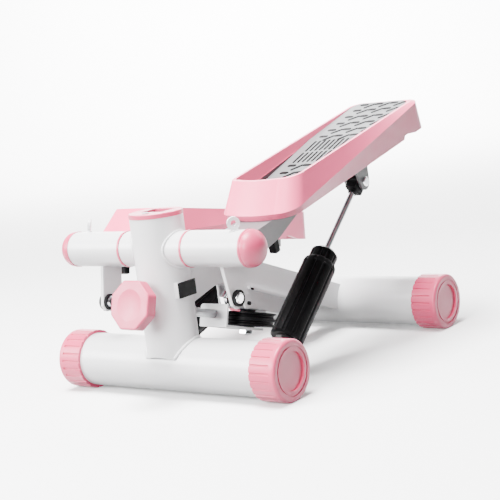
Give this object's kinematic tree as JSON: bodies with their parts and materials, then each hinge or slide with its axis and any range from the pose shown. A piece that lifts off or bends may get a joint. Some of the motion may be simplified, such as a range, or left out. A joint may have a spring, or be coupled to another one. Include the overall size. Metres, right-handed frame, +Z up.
{
  "type": "mini stepper",
  "caption": "Compact floor stepper with paired foot pedals that swing in turn on a cross tube, hydraulic dampers, a front knob for step height and ribbed end caps on its tube feet.",
  "frame": {"origin": "on the floor, under the middle of the machine's box", "axes": "+X to the machine's right, +Y to its rear, +Z up; the knob and the display are at the front, -Y"},
  "size_m": [0.32, 0.4305, 0.2819],
  "materials": {
    "white_paint": "satin powder coat",
    "grey_paint": "satin powder coat",
    "black_paint": "satin",
    "pink_plastic": "semi-gloss moulded",
    "black_plastic": "fine moulded texture",
    "grey_plastic": "smooth",
    "black_rubber": "matte",
    "grip_pad": "matte, printed with black dashes",
    "chrome": "polished",
    "steel": "zinc plated",
    "display_window": "smoked, clear"
  },
  "bodies": {
    "root": {"front_foot_tube": "white_paint", "rear_foot_tube": "white_paint", "front_end_caps": "pink_plastic", "rear_end_caps": "pink_plastic", "column": "white_paint", "cross_tube": "white_paint", "axle_shaft": "steel", "axle_caps": "pink_plastic", "main_beam": "white_paint", "beam_lip": "white_paint", "side_plates": "white_paint", "neck_gussets": "white_paint", "side_stub": "white_paint", "stub_plug": "black_plastic", "screw_guide": "white_paint", "damper_brackets": "white_paint", "damper_lower_pins": "chrome", "display_bezel": "pink_plastic", "display_lens": "display_window", "display_module": "black_plastic"},
    "right_pedal": {"right_sleeve": "white_paint", "right_sleeve_bushes": "pink_plastic", "right_eye_hook": "white_paint", "right_lever_plate": "white_paint", "right_lever_rings": "black_rubber", "right_lever_bolt": "chrome", "right_pedal_arm": "grey_paint", "right_pedal_tray": "pink_plastic", "right_pedal_pad": "grip_pad", "right_pedal_bolts": "steel", "right_stop_bumper": "black_rubber", "right_damper_ears": "grey_paint", "right_damper_top_pin": "chrome"},
    "right_damper_body": {"right_damper_barrel": "black_paint", "right_damper_cover": "black_plastic"},
    "right_damper_piston": {"right_damper_rod": "chrome", "right_damper_rod_end": "black_plastic"},
    "left_pedal": {"left_sleeve": "white_paint", "left_sleeve_bushes": "pink_plastic", "left_eye_hook": "white_paint", "left_lever_plate": "white_paint", "left_lever_rings": "black_rubber", "left_lever_bolt": "chrome", "left_pedal_arm": "grey_paint", "left_pedal_tray": "pink_plastic", "left_pedal_pad": "grip_pad", "left_pedal_bolts": "steel", "left_stop_bumper": "black_rubber", "left_damper_ears": "grey_paint", "left_damper_top_pin": "chrome"},
    "left_damper_body": {"left_damper_barrel": "black_paint", "left_damper_cover": "black_plastic"},
    "left_damper_piston": {"left_damper_rod": "chrome", "left_damper_rod_end": "black_plastic"},
    "knob": {"step_knob": "pink_plastic", "adjusting_screw": "steel"},
    "carrier": {"pulley_carrier": "white_paint", "pulley_bolt": "chrome"},
    "pulley": {"rope_pulley": "black_plastic"},
    "button": {"display_button": "grey_plastic"}
  },
  "joints": [
    {"name": "right_pedal_swing", "type": "hinge", "parent": "root", "child": "right_pedal", "pos_m": [0, -0.151, 0.1635], "axis": [1, 0, 0], "range_deg": [-22.3, 0]},
    {"name": "left_pedal_swing", "type": "hinge", "parent": "root", "child": "left_pedal", "pos_m": [0, -0.151, 0.1635], "axis": [1, 0, 0], "range_deg": [-0.2, 22.5]},
    {"name": "right_damper_lean", "type": "hinge", "parent": "root", "child": "right_damper_body", "pos_m": [0.087, -0.078, 0.027], "axis": [1, 0, 0], "range_deg": [-22.2, 0.2]},
    {"name": "right_damper_stroke", "type": "slide", "parent": "right_damper_body", "child": "right_damper_piston", "axis": [0, 0.7659, 0.6429], "range_m": [-0.062, 0.0005]},
    {"name": "left_damper_lean", "type": "hinge", "parent": "root", "child": "left_damper_body", "pos_m": [-0.087, -0.078, 0.027], "axis": [1, 0, 0], "range_deg": [-0.2, 23.3]},
    {"name": "left_damper_stroke", "type": "slide", "parent": "left_damper_body", "child": "left_damper_piston", "axis": [0, 0.9514, 0.3079], "range_m": [-0.0005, 0.062]},
    {"name": "knob_turn", "type": "hinge", "parent": "root", "child": "knob", "pos_m": [0, -0.19597, 0.10994], "axis": [0, 0.9563, -0.2924], "range_deg": [-1090, 1090]},
    {"name": "carrier_travel", "type": "slide", "parent": "root", "child": "carrier", "axis": [0, 0.9563, -0.2924], "range_m": [-0.0045, 0.0045]},
    {"name": "pulley_spin", "type": "hinge", "parent": "carrier", "child": "pulley", "pos_m": [0, -0.015, 0.052], "axis": [0, 0.2924, 0.9563], "range_deg": [-41, 0.5]},
    {"name": "button_press", "type": "slide", "parent": "root", "child": "button", "axis": [0, 0, 1], "range_m": [-0.0012, 0], "stiffness_N_per_m": 300}
  ],
  "couplings": [
    {"joint": "left_pedal_swing", "follows": "right_pedal_swing", "ratio": -1},
    {"joint": "right_damper_lean", "follows": "right_pedal_swing", "ratio": 0.96585},
    {"joint": "right_damper_stroke", "follows": "right_pedal_swing", "m_per_rad": 0.15369},
    {"joint": "left_damper_lean", "follows": "right_pedal_swing", "ratio": -1.0106},
    {"joint": "left_damper_stroke", "follows": "right_pedal_swing", "m_per_rad": -0.15382},
    {"joint": "pulley_spin", "follows": "right_pedal_swing", "ratio": 1.8182},
    {"joint": "knob_turn", "follows": "carrier_travel", "rad_per_m": 4188.8}
  ]
}
